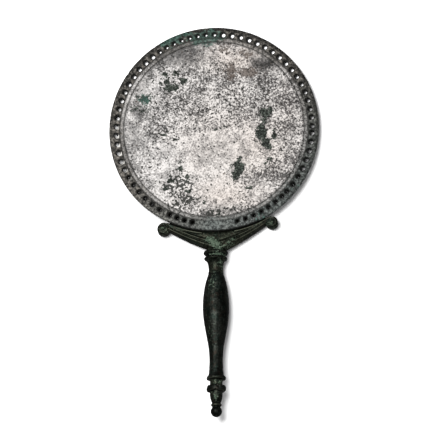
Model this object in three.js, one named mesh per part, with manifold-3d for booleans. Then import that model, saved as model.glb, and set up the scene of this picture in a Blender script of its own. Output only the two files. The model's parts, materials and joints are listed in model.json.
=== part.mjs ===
// A bronze hand mirror of the Roman kind, lying on its back. A cast and turned disc with a ring of
// drilled holes lies on the crescent bracket of a cast handle, which hugs the disc's lower edge with two
// scrolled arms. Millimetres, +Z up. The disc is built with its centre at the origin, its back on z = 0
// and the handle running down -Y, and the finished mirror is then laid on the floor.
import * as THREE from "three";
import { mergeVertices } from "three/addons/utils/BufferGeometryUtils.js";
import Module from "manifold-3d";

// Disc
const DISC_RADIUS = 66;
const DISC_THICKNESS = 2.6;
const DISC_SIDES = 68;
const EDGE_ROUND = 0.8;
const GROOVE_RADII = [56.7, 59.2];
const GROOVE_HALF_WIDTH = 0.4;
const GROOVE_DEPTH = 0.3;
const BACK_RECESS_RADIUS = 52;
const BACK_RECESS_DEPTH = 0.6;
const BACK_CIRCLE_RADIUS = 25;

// Drilled holes, in the runs that the hand drilled them: first hole, how many, degrees from hole to hole, and
// the drill's radius. Degrees run clockwise from the right-hand side of the mirror as it is looked into.
const HOLE_SIDES = 8;
const HOLE_RING_RADIUS = 61.5;
const HOLE_RUNS = [
  { first: 103.1, count: 4, pitch: 4.7, radius: 1.7 },
  { first: 123.8, count: 21, pitch: 5.37, radius: 1.7 },
  { first: 236.3, count: 8, pitch: 4.84, radius: 1.25 },
  { first: 275.3, count: 17, pitch: 5.25, radius: 1.7 },
  { first: 3.5, count: 8, pitch: 5.53, radius: 1.7 },
  { first: 46.4, count: 7, pitch: 5.0, radius: 1.5 },
];

// Handle: distances are along its axis from the disc's centre
const HANDLE_SIDES = 22;
const HANDLE_OFFSET = 0.45;
const HANDLE_DEPTH = 2.6;
const UPPER_COLLAR = { at: 79.2, radius: 7.75, half: 1.4 };
const LOWER_COLLAR = { at: 82.8, radius: 7.4, half: 1.1 };
const COLLAR_WAIST = 6.0;
const NECK = { at: 89.0, radius: 4.4 };
const BEAD = { at: 91.9, radius: 4.85, half: 0.5 };
const BELLY = { at: 114.5, radius: 8.3 };
const ANKLE = { at: 148.4, radius: 4.25 };
const SCORE = { at: 153.8, radius: 4.5, depth: 0.25, half: 0.35 };
const FLARE = { from: 156.9, lip: 159.2, to: 160.7, radius: 6.15, round: 0.3 };
const TAIL_NECK_RADIUS = 4.0;
const RING = { at: 166.5, radius: 6.1, half: 1.9, round: 0.6 };
const BUD = { at: 170.9, radius: 4.0, end: 175.6, endRadius: 2.75 };
const FILLET = { at: 177.0, radius: 3.5, half: 0.8 };
const STALK_RADIUS = 2.45;
const BALL = { at: 181.1, radius: 3.6 };

// Bracket: a crescent round the disc's edge, turned a little from the handle's line
const BRACKET_SKEW = THREE.MathUtils.degToRad(1.93);
const BRACKET_DEPTH = 6.2;
const BRACKET_STEPS = 28;
const ARM_END = THREE.MathUtils.degToRad(27.4);
const ARM_ROOT = 79.9;
const ARM_SLOPES = { left: 0.526, right: 0.58 };
const ARM_SWELL = 0.9;
const SEAT_WIDTH = 5;
const JOINT_GAP = 0.3;
const RIDGES = 3;
const RIDGE_STEPS = 14;
const RIDGE_SHARE = 0.87;
const RIDGE_HEIGHT = 1.0;
const ARM_DROP = 2.6;
const ROOT_RISE = 2.2;
const ROOT_SPREAD = THREE.MathUtils.degToRad(6);

// Scrolls at the arms' ends, and the pair of leaves over the collar
const LEFT_SCROLL = { side: -1, across: 34.1, down: 62.0, radius: 4.15 };
const RIGHT_SCROLL = { side: 1, across: 33.75, down: 61.55, radius: 3.85 };
const SCROLL = { front: 0.4, back: -5.8, round: 0.8 };
const SCROLL_BAND = { radius: 0.62, inset: 0.75, inner: 0.9, turns: 1.6, steps: 18, sides: 5 };
const LEAF = { length: 5.3, width: 1.9, height: 1.4 };
const LEAVES = { middle: 1.7, spread: 4.1, down: 73.4, lift: 1.2, lean: 0.76 };
const STEM = { across: 1.4, down: 75.0, width: 6.4, length: 7.0, height: 4.4 };

// The collar's worn spot, which the mirror lies on
const WORN_DEPTH = 0.4;

const silvered = new THREE.MeshStandardMaterial({ color: 0xbdb4ae, roughness: 0.5, metalness: 0.8 });
const darkBronze = new THREE.MeshStandardMaterial({ color: 0x2b2f28, roughness: 0.4, metalness: 0.7 });

const wasm = await Module();
wasm.setup();

// A closed geometry as a solid for joining and cutting.
function solid(geometry) {
  const bare = new THREE.BufferGeometry();
  bare.setAttribute("position", geometry.getAttribute("position"));
  bare.setIndex(geometry.getIndex());
  const merged = mergeVertices(bare, 1e-4);
  const corners = merged.getIndex().array;
  const kept = [];
  for (let i = 0; i < corners.length; i += 3) {
    const [a, b, c] = corners.slice(i, i + 3);
    if (a !== b && b !== c && c !== a) kept.push(a, b, c);
  }
  const mesh = new wasm.Mesh({
    numProp: 3,
    vertProperties: new Float32Array(merged.getAttribute("position").array),
    triVerts: new Uint32Array(kept),
  });
  return new wasm.Manifold(mesh);
}

// A joined or cut solid as a geometry with flat faces.
function geometryOf(made) {
  const mesh = made.getMesh();
  const geometry = new THREE.BufferGeometry();
  geometry.setAttribute("position", new THREE.BufferAttribute(mesh.vertProperties, 3));
  geometry.setIndex(new THREE.BufferAttribute(mesh.triVerts, 1));
  return geometry.toNonIndexed();
}

const join = (solids) => solids.reduce((whole, next) => whole.add(next));
const ease = (low, high, x) => THREE.MathUtils.smoothstep(x, low, high);

// Mirror disc
function groove(radius, level, depth, way) {
  const reach = way * GROOVE_HALF_WIDTH;
  return [
    new THREE.Vector2(radius - reach, level),
    new THREE.Vector2(radius, level + depth),
    new THREE.Vector2(radius + reach, level),
  ];
}

// From the middle of the back, out to the edge, and in again over the face.
function discProfile() {
  const edgeRadius = DISC_RADIUS - EDGE_ROUND;
  const [innerGroove, outerGroove] = GROOVE_RADII;
  return [
    new THREE.Vector2(0, BACK_RECESS_DEPTH),
    ...groove(BACK_CIRCLE_RADIUS, BACK_RECESS_DEPTH, GROOVE_DEPTH, 1),
    new THREE.Vector2(BACK_RECESS_RADIUS, BACK_RECESS_DEPTH),
    new THREE.Vector2(BACK_RECESS_RADIUS + BACK_RECESS_DEPTH, 0),
    new THREE.Vector2(edgeRadius, 0),
    new THREE.Vector2(DISC_RADIUS, EDGE_ROUND / 2),
    new THREE.Vector2(DISC_RADIUS, DISC_THICKNESS - EDGE_ROUND),
    new THREE.Vector2(DISC_RADIUS - EDGE_ROUND / 3, DISC_THICKNESS - EDGE_ROUND / 3),
    new THREE.Vector2(edgeRadius, DISC_THICKNESS),
    ...groove(outerGroove, DISC_THICKNESS, -GROOVE_DEPTH, -1),
    ...groove(innerGroove, DISC_THICKNESS, -GROOVE_DEPTH, -1),
    new THREE.Vector2(0, DISC_THICKNESS),
  ];
}

function drilledHoles() {
  const height = 4 * DISC_THICKNESS;
  return HOLE_RUNS.flatMap(({ first, count, pitch, radius }) => Array.from({ length: count }, (_, i) => {
    const angle = -THREE.MathUtils.degToRad(first + i * pitch);
    const x = HOLE_RING_RADIUS * Math.cos(angle);
    const y = HOLE_RING_RADIUS * Math.sin(angle);
    const drill = new THREE.CylinderGeometry(radius, radius, height, HOLE_SIDES).rotateX(Math.PI / 2);
    return solid(drill.rotateZ(angle).translate(x, y, 0));
  }));
}

function mirrorDisc() {
  const turned = new THREE.LatheGeometry(discProfile(), DISC_SIDES, Math.PI / DISC_SIDES);
  return solid(turned.rotateX(Math.PI / 2)).subtract(join(drilledHoles()));
}

// Baluster handle, from the ball at its end up to the collars under the bracket
function bulge({ at, radius, half }, base, steps) {
  const depth = radius - base;
  return Array.from({ length: steps + 1 }, (_, i) => {
    const turn = (i / steps) * Math.PI;
    return new THREE.Vector2(base + depth * Math.sin(turn), -(at + half * Math.cos(turn)));
  });
}

function balusterProfile() {
  const point = (radius, at) => new THREE.Vector2(radius, -at);
  const ballStart = Math.asin(STALK_RADIUS / BALL.radius);
  const ball = Array.from({ length: 7 }, (_, i) => {
    const turn = (i / 6) * (Math.PI - ballStart);
    return point(BALL.radius * Math.sin(turn), BALL.at + BALL.radius * Math.cos(turn));
  });
  const bud = new THREE.CubicBezierCurve(
    point(BUD.endRadius, BUD.end),
    point(BUD.radius * 0.85, BUD.end - 1.6),
    point(BUD.radius * 1.05, BUD.at + 2),
    point(BUD.radius, RING.at + RING.half),
  );
  const ring = [
    point(TAIL_NECK_RADIUS, RING.at + RING.half),
    point(RING.radius - RING.round, RING.at + RING.half),
    point(RING.radius, RING.at + RING.half - RING.round),
    point(RING.radius, RING.at - RING.half + RING.round),
    point(RING.radius - RING.round, RING.at - RING.half),
    point(TAIL_NECK_RADIUS, RING.at - RING.half),
  ];
  const flare = new THREE.QuadraticBezierCurve(
    point(FLARE.radius - FLARE.round, FLARE.lip - FLARE.round),
    point(SCORE.radius + 0.5, FLARE.from + 1.2),
    point(SCORE.radius + 0.1, FLARE.from),
  );
  const reachDown = 0.3642 * (ANKLE.at - BELLY.at);
  const lower = new THREE.CubicBezierCurve(
    point(ANKLE.radius, ANKLE.at),
    point(ANKLE.radius, ANKLE.at - reachDown),
    point(BELLY.radius, BELLY.at + reachDown),
    point(BELLY.radius, BELLY.at),
  );
  const upper = new THREE.CubicBezierCurve(
    point(BELLY.radius, BELLY.at),
    point(BELLY.radius, 104.7),
    point(6.65, 97.9),
    point(BEAD.radius - 0.2, BEAD.at + BEAD.half),
  );
  const throat = new THREE.CubicBezierCurve(
    point(BEAD.radius - 0.2, BEAD.at - BEAD.half),
    point(NECK.radius, NECK.at + 1.6),
    point(NECK.radius, NECK.at - 3.2),
    point(COLLAR_WAIST, LOWER_COLLAR.at + LOWER_COLLAR.half),
  );
  return [
    ...ball,
    ...bulge(FILLET, STALK_RADIUS + 0.2, 4),
    ...bud.getPoints(4),
    ...ring,
    point(TAIL_NECK_RADIUS, FLARE.to),
    point(FLARE.radius - FLARE.round, FLARE.to),
    point(FLARE.radius, FLARE.to - FLARE.round),
    point(FLARE.radius, FLARE.lip),
    ...flare.getPoints(3),
    point(SCORE.radius, SCORE.at + SCORE.half),
    point(SCORE.radius - SCORE.depth, SCORE.at),
    point(SCORE.radius, SCORE.at - SCORE.half),
    ...lower.getPoints(6),
    ...upper.getPoints(6).slice(1),
    point(BEAD.radius, BEAD.at),
    ...throat.getPoints(4),
    ...bulge(LOWER_COLLAR, COLLAR_WAIST, 4),
    ...bulge(UPPER_COLLAR, COLLAR_WAIST, 4),
    point(0, UPPER_COLLAR.at - UPPER_COLLAR.half),
  ];
}

function baluster() {
  const turned = new THREE.LatheGeometry(balusterProfile(), HANDLE_SIDES);
  return solid(turned.translate(HANDLE_OFFSET, 0, -HANDLE_DEPTH));
}

// Bracket: its section is a closed loop of (distance from the disc's centre, height), carried round the disc
function armHeight(share, turn) {
  const ridged = Math.min(share / RIDGE_SHARE, 1);
  const ridge = RIDGE_HEIGHT * (0.5 - 0.5 * Math.cos(2 * Math.PI * RIDGES * ridged)) ** 0.7;
  const root = ROOT_RISE * share * Math.exp(-((turn / ROOT_SPREAD) ** 2));
  return ridge + root - JOINT_GAP - ARM_DROP * ease(RIDGE_SHARE, 1, share);
}

function bracketSection(turn) {
  const side = Math.abs(turn);
  const swell = ARM_SWELL * Math.sin(Math.PI * Math.min(side / ARM_END, 1));
  const slope = turn > 0 ? ARM_SLOPES.right : ARM_SLOPES.left;
  const reach = ARM_ROOT / (Math.cos(side) + slope * Math.sin(side)) + swell;
  const edge = DISC_RADIUS + JOINT_GAP;
  const horn = ease(0.55 * ARM_END, ARM_END, side);
  const seat = THREE.MathUtils.lerp(DISC_RADIUS - SEAT_WIDTH, edge - 0.2, horn);
  const front = Array.from({ length: RIDGE_STEPS + 1 }, (_, i) => {
    const share = i / RIDGE_STEPS;
    return [THREE.MathUtils.lerp(edge, reach, share), armHeight(share, turn)];
  });
  return [
    [seat + 0.8, -BRACKET_DEPTH],
    [seat, -BRACKET_DEPTH + 0.8],
    [seat, -JOINT_GAP - 0.01],
    ...front,
    [reach - 0.2, -BRACKET_DEPTH + 1.2],
    [reach - 1.4, -BRACKET_DEPTH],
  ];
}

// A cylinder bent to a row of sections: its turn follows the section's loop and its length the disc's edge.
function crescent() {
  const count = bracketSection(0).length;
  const geometry = new THREE.CylinderGeometry(1, 1, 1, count, BRACKET_STEPS);
  const place = geometry.getAttribute("position");
  for (let i = 0; i < place.count; i++) {
    const turn = (2 * place.getY(i)) * ARM_END;
    const loop = bracketSection(turn);
    const onAxis = Math.hypot(place.getX(i), place.getZ(i)) < 0.5;
    const k = Math.round((Math.atan2(place.getX(i), place.getZ(i)) / (2 * Math.PI)) * count + count) % count;
    const middle = [(loop[0][0] + loop.at(-1)[0]) / 2, -BRACKET_DEPTH / 2];
    const [distance, height] = onAxis ? middle : loop[k];
    place.setXYZ(i, distance * Math.sin(turn), -distance * Math.cos(turn), height);
  }
  return [geometry];
}

class ScrollLine extends THREE.Curve {
  constructor(side, outer) {
    super();
    this.side = side;
    this.outer = outer;
  }

  getPoint(share, target = new THREE.Vector3()) {
    const turn = share * SCROLL_BAND.turns * 2 * Math.PI;
    const radius = THREE.MathUtils.lerp(this.outer, SCROLL_BAND.inner, share ** 0.8);
    return target.set(this.side * radius * Math.sin(turn), radius * Math.cos(turn), SCROLL.front);
  }
}

function scroll({ side, across, down, radius }) {
  const { front, back, round } = SCROLL;
  const profile = [
    new THREE.Vector2(0, back),
    new THREE.Vector2(radius - round, back),
    new THREE.Vector2(radius, back + round),
    new THREE.Vector2(radius, front - round),
    new THREE.Vector2(radius - 0.6 * round, front),
    new THREE.Vector2(0, front),
  ];
  const roll = new THREE.LatheGeometry(profile, 18).rotateX(Math.PI / 2);
  const circle = new THREE.Shape(Array.from({ length: SCROLL_BAND.sides }, (_, i) => {
    const turn = (i / SCROLL_BAND.sides) * 2 * Math.PI;
    return new THREE.Vector2(Math.cos(turn), Math.sin(turn)).multiplyScalar(SCROLL_BAND.radius);
  }));
  const line = new ScrollLine(side, radius - SCROLL_BAND.inset);
  const band = new THREE.ExtrudeGeometry(circle, { extrudePath: line, steps: SCROLL_BAND.steps });
  const eye = new THREE.SphereGeometry(1.1, 8, 6).translate(0, 0, front);
  const lean = side * Math.atan2(across, down);
  return [roll, band, eye].map((piece) => piece.rotateZ(lean).translate(side * across, -down, 0));
}

function leaf(side) {
  const blade = new THREE.SphereGeometry(1, 9, 6).scale(LEAF.length, LEAF.width, LEAF.height);
  const across = LEAVES.middle + side * LEAVES.spread;
  return [blade.rotateZ(side * LEAVES.lean).translate(across, -LEAVES.down, LEAVES.lift)];
}

function bracket() {
  const pieces = [crescent(), scroll(LEFT_SCROLL), scroll(RIGHT_SCROLL), leaf(-1), leaf(1)].flat();
  return join(pieces.map((piece) => solid(piece.rotateZ(BRACKET_SKEW))));
}

function stem() {
  const bulb = new THREE.SphereGeometry(1, 14, 8).scale(STEM.width, STEM.length, STEM.height);
  return solid(bulb.translate(STEM.across, -STEM.down, -HANDLE_DEPTH));
}

// The floor touches the disc's far edge and the worn spot under the upper collar.
const touch = { y: (DISC_RADIUS - EDGE_ROUND) * Math.cos(Math.PI / DISC_SIDES), z: 0 };
const run = touch.y + UPPER_COLLAR.at;
const rise = touch.z + HANDLE_DEPTH;
const tilt = Math.asin((UPPER_COLLAR.radius - WORN_DEPTH) / Math.hypot(run, rise)) + Math.atan2(rise, run);

function belowFloor() {
  const size = 4 * DISC_RADIUS;
  const block = new THREE.BoxGeometry(size, size, size / 4).translate(0, 0, -size / 8);
  const y = touch.y - 0.4 * size * Math.cos(tilt);
  const z = touch.z - 0.4 * size * Math.sin(tilt);
  return solid(block.rotateX(tilt).translate(0, y, z));
}

function handle() {
  return join([baluster(), bracket(), stem()]).subtract(belowFloor());
}

const mirror = new THREE.Group();
const discMesh = new THREE.Mesh(geometryOf(mirrorDisc()), silvered);
discMesh.name = "mirror_disc";
const handleMesh = new THREE.Mesh(geometryOf(handle()), darkBronze);
handleMesh.name = "handle";
mirror.add(discMesh, handleMesh);
mirror.rotation.x = -tilt;

// The origin is on the floor, under the middle of the mirror's box.
const box = new THREE.Box3().setFromObject(mirror, true);
const middle = box.getCenter(new THREE.Vector3());
mirror.position.set(-middle.x, -middle.y, -box.min.z);

const part = new THREE.Group();
part.add(mirror);

export default part;
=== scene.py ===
import json
import math

import bmesh
import bpy
from mathutils import Matrix, Vector, geometry, noise


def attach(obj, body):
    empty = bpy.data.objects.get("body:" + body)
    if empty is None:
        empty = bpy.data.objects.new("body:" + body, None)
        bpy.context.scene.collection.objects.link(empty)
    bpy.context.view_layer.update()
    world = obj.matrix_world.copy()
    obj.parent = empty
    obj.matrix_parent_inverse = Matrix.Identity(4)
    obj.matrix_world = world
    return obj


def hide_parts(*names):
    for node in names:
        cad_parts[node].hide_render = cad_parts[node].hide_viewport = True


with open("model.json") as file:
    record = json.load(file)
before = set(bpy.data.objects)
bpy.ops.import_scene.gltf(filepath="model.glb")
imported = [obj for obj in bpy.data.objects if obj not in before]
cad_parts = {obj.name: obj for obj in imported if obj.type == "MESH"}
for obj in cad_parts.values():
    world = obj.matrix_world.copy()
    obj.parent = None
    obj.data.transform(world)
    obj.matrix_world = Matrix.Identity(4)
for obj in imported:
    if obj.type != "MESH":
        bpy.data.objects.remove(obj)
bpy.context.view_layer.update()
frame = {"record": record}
scene = bpy.context.scene


# The mirror disc is cast and turned high-tin bronze, drilled round its rim by hand and polished on its face.
# It is modelled face up in millimetres, about its own centre with the handle running down -Y, and is then
# laid on the floor, where its far edge and the handle's collar carry it.
disc_radius = 66.0
disc_thickness = 2.6
back_dish = 0.6
back_dish_radius = 52.0
back_circle_radius = 25.0
incised_radii = (56.7, 59.2)
incised_depth = 0.3
edge_start = 64.8
hole_ring_radius = 61.5
hole_row_spacing = 0.61
hole_rounding = 0.22
hole_stray = 0.25
widest_hole = 1.7
widest_gap = 6.0
face_row_spacing = 0.8
face_row_count = 70
plain_column_degrees = 0.7
# The holes were drilled in runs: degrees of the first hole, clockwise from the right, how many holes there
# are, degrees from hole to hole, and their radius.
hole_runs = (
    (103.1, 4, 4.7, 1.7), (123.8, 21, 5.37, 1.7), (236.3, 8, 4.84, 1.25),
    (275.3, 17, 5.25, 1.7), (3.5, 8, 5.53, 1.7), (46.4, 7, 5.0, 1.5),
)

mm_per_metre = 1000
back_centre = frame["record"]["mounts"][0]
tilt = math.atan2(-back_centre["axis"][1], -back_centre["axis"][2])
lay_down = (
    Matrix.Translation(back_centre["pos_m"])
    @ Matrix.Rotation(-tilt, 4, "X")
    @ Matrix.Scale(1 / mm_per_metre, 4)
    @ Matrix.Translation((0, 0, -back_dish))
)


def wander(x, y, z, size):
    return noise.noise(Vector((x / size, y / size, z / size)))


def incised_rows(radius, level, depth):
    shape = ((-0.45, 0.0), (-0.2, 0.75), (0.0, 1.0), (0.2, 0.75), (0.45, 0.0))
    return [(radius + across, level - share * depth) for across, share in shape]


# Across the rim, each hole takes a block of four rows, so that the metal between them is ruled evenly.
hole_rows = [hole_ring_radius + hole_row_spacing * k for k in (-2, -1, 0, 1, 2)]
face_rows = [(face_row_spacing * k, disc_thickness) for k in range(face_row_count)]
face_rows += incised_rows(incised_radii[0], disc_thickness, incised_depth)
face_rows += [(57.7, disc_thickness), (58.2, disc_thickness)]
face_rows += incised_rows(incised_radii[1], disc_thickness, incised_depth)[:-1]
face_rows += [(59.62, disc_thickness)]
first_hole_row = len(face_rows)
face_rows += [(r, disc_thickness) for r in hole_rows]
face_rows += [(63.4, disc_thickness), (64.0, disc_thickness), (64.6, disc_thickness)]
edge_rows = [(65.2, 2.55), (65.65, 2.38), (65.9, 2.1), (disc_radius, 1.75)]
edge_rows += [(disc_radius, 1.2), (disc_radius, 0.6), (65.85, 0.2), (65.5, 0.03)]
back_rows = [(edge_start, 0.0), (64.0, 0.0), (63.4, 0.0)]
first_back_hole_row = len(face_rows) + len(edge_rows) + len(back_rows)
back_rows += [(r, 0.0) for r in reversed(hole_rows)]
back_rows += [(59.62, 0.0), (58.0, 0.0), (56.0, 0.0), (54.0, 0.0), (back_dish_radius + 0.7, 0.0)]
back_rows += [(back_dish_radius + 0.35, 0.25), (back_dish_radius, back_dish)]
back_rows += [(r, back_dish) for r in (50, 47.5, 45, 42.5, 40, 37.5, 35, 32.5, 30, 27.5, 26)]
back_rows += [(r, z) for r, z in reversed(incised_rows(back_circle_radius, back_dish, -incised_depth))]
back_rows += [(r, back_dish) for r in (24, 21.5, 19, 16.5, 14, 11.5, 9, 6.5, 4, 2, 0)]
disc_rows = face_rows + edge_rows + back_rows

# Round the rim, each hole has eight columns, and the plain stretch over the handle is ruled to match.
holes = sorted(
    ((first + i * pitch) % 360, size)
    for first, count, pitch, size in hole_runs
    for i in range(count)
)
columns = []
hole_columns = []
for k, (angle, size) in enumerate(holes):
    before = (angle - holes[k - 1][0]) % 360
    after = (holes[(k + 1) % len(holes)][0] - angle) % 360
    near = min(before, widest_gap) / 2
    far = min(after, widest_gap) / 2
    bore = math.degrees(widest_hole / hole_ring_radius)
    outer = 0.72 * bore
    inner = 0.36 * bore
    columns += [angle - near, angle - bore - 0.45 * (near - bore), angle - outer, angle - inner]
    hole_columns.append(len(columns))
    columns += [angle, angle + inner, angle + outer, angle + bore + 0.45 * (far - bore)]
    spare = after - 2 * far
    if spare > 0.5:
        plain = max(1, round(spare / plain_column_degrees))
        columns += [angle + far + spare * i / plain for i in range(plain)]

disc_bm = bmesh.new()
profile = [disc_bm.verts.new((r, 0, z)) for r, z in disc_rows]
rails = [disc_bm.edges.new(pair) for pair in zip(profile, profile[1:])]
bmesh.ops.spin(
    disc_bm, geom=profile + rails, cent=(0, 0, 0), axis=(0, 0, 1), angle=2 * math.pi,
    steps=len(columns), use_merge=True,
)
row_at = {(round(r, 2), round(z, 2)): i for i, (r, z) in enumerate(disc_rows)}
ruled = {}
for v in disc_bm.verts:
    r = math.hypot(v.co.x, v.co.y)
    row = row_at[(round(r, 2), round(v.co.z, 2))]
    column = round(math.atan2(v.co.y, v.co.x) / (2 * math.pi) * len(columns)) % len(columns)
    angle = -math.radians(columns[column])
    v.co.x = r * math.cos(angle)
    v.co.y = r * math.sin(angle)
    ruled[row, column] = v


def hole_outline(first_row, column):
    across = [(0, k) for k in range(4)] + [(k, 4) for k in range(4)]
    across += [(4, 4 - k) for k in range(4)] + [(4 - k, 0) for k in range(4)]
    return [ruled[first_row + i, (column - 2 + j) % len(columns)] for i, j in across]


def hole_faces(first_row, column):
    found = []
    for i in range(4):
        for j in range(4):
            left = (column - 2 + j) % len(columns)
            right = (left + 1) % len(columns)
            corners = [ruled[first_row + i, left], ruled[first_row + i, right]]
            corners += [ruled[first_row + i + 1, right], ruled[first_row + i + 1, left]]
            found.append(disc_bm.faces.get(corners))
    return found


# Dirt has narrowed the holes towards the back, the lower ones most, and has left them a little off centre.
back_opening = 0.6
small_back_opening = 0.48
low_back_opening = 0.2
small_hole = 1.5
right_lean = Vector((0.4, 0))
left_lean = Vector((-0.35, 0.3))
left_holes_across = -38
left_holes_top = 6
low_holes_top = -28
drilled = []
cut_away = []
bores = []
for column, (angle, size) in zip(hole_columns, holes):
    angle = -math.radians(angle)
    centre = Vector((math.cos(angle), math.sin(angle))) * hole_ring_radius
    stray = Vector((wander(centre.x, centre.y, 0, 3.1), wander(centre.x, centre.y, 9, 3.1)))
    centre += stray * hole_stray
    bore = size * (1 + 0.12 * wander(centre.x, centre.y, 20, 2.7))
    bores.append((centre, bore))
    rings = [hole_outline(first, column) for first in (first_hole_row, first_back_hole_row)]
    opening = back_opening if size > small_hole else small_back_opening
    lean = right_lean
    if centre.x < left_holes_across and centre.y < left_holes_top:
        lean = left_lean
    if centre.y < low_holes_top:
        opening = low_back_opening
    for ring, taper, offset in zip(rings, (1.0, opening), (lean * 0, lean)):
        for v in ring:
            v.co.xy = centre + offset + (v.co.xy - centre).normalized() * bore * taper
    cut_away += hole_faces(first_hole_row, column) + hole_faces(first_back_hole_row, column)
    drilled.append(rings)
bmesh.ops.delete(disc_bm, geom=cut_away, context="FACES")
hole_rims = []
for rings in drilled:
    loops = [disc_bm.edges.get((a, b)) for ring in rings for a, b in zip(ring, ring[1:] + ring[:1])]
    bmesh.ops.bridge_loops(disc_bm, edges=loops)
    hole_rims += loops
bmesh.ops.bevel(
    disc_bm, geom=hole_rims, offset=hole_rounding, segments=2, profile=0.5,
    affect="EDGES", material=-1, clamp_overlap=True,
)
bmesh.ops.remove_doubles(disc_bm, verts=disc_bm.verts, dist=0.004)
bmesh.ops.recalc_face_normals(disc_bm, faces=disc_bm.faces)

# Burial left dark crusts, grey veils and dense specks in places on the face. Each place is how far across and
# up it lies from the disc's centre, its half width, its half height and its strength.
crusts = (
    (31.8, 9.8, 3.4, 3.0, 1.0), (35.4, 11.0, 1.9, 2.2, 0.9), (31.4, 4.2, 2.0, 2.8, 0.75),
    (30.2, -2.8, 3.6, 5.0, 1.1), (33.4, -9.4, 3.8, 2.8, 1.05), (37.6, -4.4, 1.5, 3.4, 0.95),
    (34.4, -13.0, 1.8, 1.6, 0.85), (15.6, -25.6, 3.6, 3.7, 1.05), (15.6, -20.2, 1.8, 2.0, 0.9),
    (13.4, -30.0, 3.2, 2.6, 1.05), (0.6, -0.6, 1.8, 0.5, 0.7), (3.6, -0.3, 1.8, 0.5, 0.7),
    (7.4, 0.9, 1.8, 0.5, 0.7), (-43.9, 20.4, 4.6, 3.4, 0.7), (-50.5, 15.2, 6.0, 2.6, 0.45),
    (-44.5, 12.6, 6.0, 2.6, 0.45), (-27.6, 27.2, 4.0, 2.0, 1.0), (-23.8, 27.4, 2.0, 1.8, 0.95),
    (-29.6, 31.0, 1.4, 2.4, 0.95), (-30.8, 35.6, 1.6, 1.6, 0.9), (-24.0, 36.4, 2.3, 1.4, 0.9),
    (-19.3, 31.5, 2.1, 1.8, 1.0), (-33.2, 30.2, 1.4, 1.2, 0.8), (-21.2, -20.6, 1.2, 1.0, 0.8),
    (-21.4, -25.4, 1.5, 2.0, 0.85), (-27.1, -33.2, 2.0, 1.2, 0.9), (-17.0, -30.4, 1.1, 2.2, 0.85),
    (-30.8, -38.0, 1.6, 1.2, 0.85), (-16.0, -40.0, 2.0, 0.9, 0.85), (2.6, -55.7, 1.5, 1.2, 1.0),
    (-6.4, -47.4, 1.5, 1.0, 0.85), (21.9, -38.6, 1.8, 1.2, 0.95), (9.4, -35.4, 0.9, 0.9, 0.85),
    (35.4, -20.4, 1.2, 1.3, 0.9), (32.0, -23.0, 1.3, 1.0, 0.8), (-32.2, -3.0, 1.9, 1.0, 0.85),
    (-29.2, -0.6, 0.9, 1.5, 0.8), (-24.8, -6.2, 2.0, 0.9, 0.85),
)
veils = (
    (-24, 50, 20, 6, 1.0), (-36, 41, 5, 4, 1.0), (-4, 54, 16, 5, 0.6), (2, 34, 16, 6, 0.45),
    (12, 37, 8, 5, 0.3), (34, 43.5, 8, 4.5, 1.7), (46, 30, 6, 8, 0.4), (28, 31, 6, 4, 0.5),
    (38, 24, 16, 12, 0.25), (53, 12, 7, 20, 0.5), (46, -20, 8, 9, 0.5), (40, -34, 9, 7, 0.4),
    (-30, 26, 9, 5, 0.35), (-46, 13.5, 11, 4.5, 0.85), (-45, 31, 8, 8, 0.2), (-52, -8, 11, 17, 0.65),
    (-12, 26, 14, 8, 0.15), (12, 18, 14, 10, 0.15), (-50, -25, 8, 8, 0.45), (-30, -40, 5, 10, 0.3),
    (2, -56, 15, 3.2, 1.0),
)
calm = (
    (2, -16, 24, 13, 0.95), (0, -42, 16, 14, 0.95), (-32, -15, 14, 10, 0.75), (-50, 0, 10, 26, 0.65),
    (-24, 50, 24, 7, 0.9), (-44, 29, 8, 8, 0.95), (-30, -34, 12, 14, 0.9), (34, 45, 9, 5, 0.9),
    (26, -42, 10, 9, 0.6), (20, 50, 12, 6, 0.5),
)
pitted = (
    (-23, -36, 6.5, 8.5, 1.0), (-21, -48, 9, 4.5, 1.0), (-26, 32, 7, 5, 0.45), (-34, -6, 9, 5, 0.4),
    (-38, -16, 5, 6, 0.35), (-10, 12, 16, 10, 0.3), (10, 22, 18, 10, 0.3), (36, -18, 10, 10, 0.3),
    (4, -54, 16, 2.0, 0.8),
)
warm = (
    (8, -42, 22, 12, 1.0), (26, -12, 20, 20, 0.9), (14, 46, 20, 9, 1.0), (4, -8, 24, 30, 0.6),
    (44, 4, 10, 24, 0.5),
)
bare_spots = ((34.4, -3.6, 1.0, 1.6, 0.9), (36.0, -8.4, 1.0, 1.4, 0.8))
brown_stains = (
    (10.8, 37, 3.4, 5, 1.0), (22.2, 36.2, 5.5, 3.4, 1.0), (17.2, 49.4, 3.4, 1.6, 0.9),
    (21.6, 47.4, 3, 1.4, 0.9), (8, 51, 4, 3, 0.6),
)
green_stains = (
    (-6, 58, 12, 4.5, 1.0), (-24, 60, 14, 5, 0.7), (-44, 20, 5, 4, 0.7), (30, -56, 10, 5, 0.5),
    (50, -38, 6, 8, 0.4),
)


def strength_at(x, y, places):
    strength = 0.0
    for across, up, half_width, half_height, amount in places:
        far = ((x - across) / half_width) ** 2 + ((y - up) / half_height) ** 2
        if far < 9:
            strength = max(strength, amount * math.exp(-far * 0.7))
    return strength


def clamp(value):
    return min(max(value, 0), 1)


def nearness(value, middle, spread):
    return math.exp(-((value - middle) / spread) ** 2)


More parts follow.
